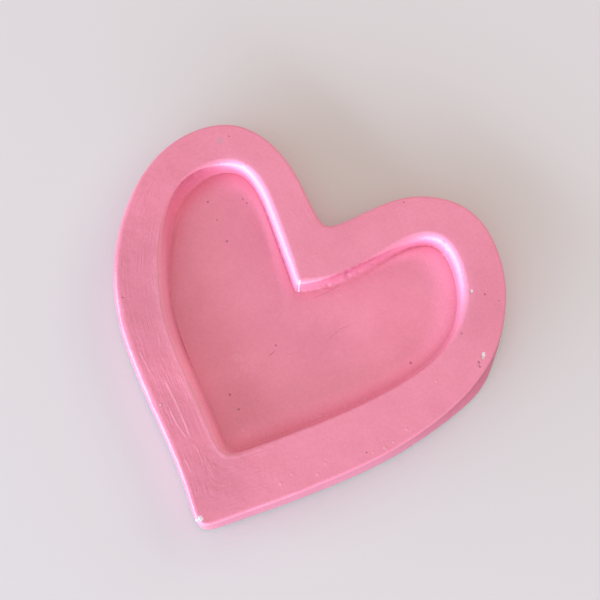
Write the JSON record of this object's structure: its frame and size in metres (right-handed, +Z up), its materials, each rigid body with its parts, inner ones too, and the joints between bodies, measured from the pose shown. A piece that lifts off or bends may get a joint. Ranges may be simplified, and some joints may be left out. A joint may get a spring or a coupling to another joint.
{
  "type": "trinket dish",
  "caption": "Open heart-shaped trinket dish: a thick cast body with a softly rounded rim around a shallow heart-shaped recess, standing on round felt pads.",
  "frame": {"origin": "on the surface that the dish stands on, under the middle of its bounding box", "axes": "+Z up out of the recess, +Y from the tip towards the notch between the lobes, +X towards the right lobe"},
  "size_m": [0.1099, 0.1075, 0.0095],
  "materials": {
    "painted_casting": "hand-painted semi-gloss pink over a white cast body",
    "felt": "pressed felt, off-white"
  },
  "bodies": {
    "root": {"dish_body": "painted_casting", "foot_pad_left": "felt", "foot_pad_right": "felt", "foot_pad_tip": "felt"}
  },
  "joints": []
}
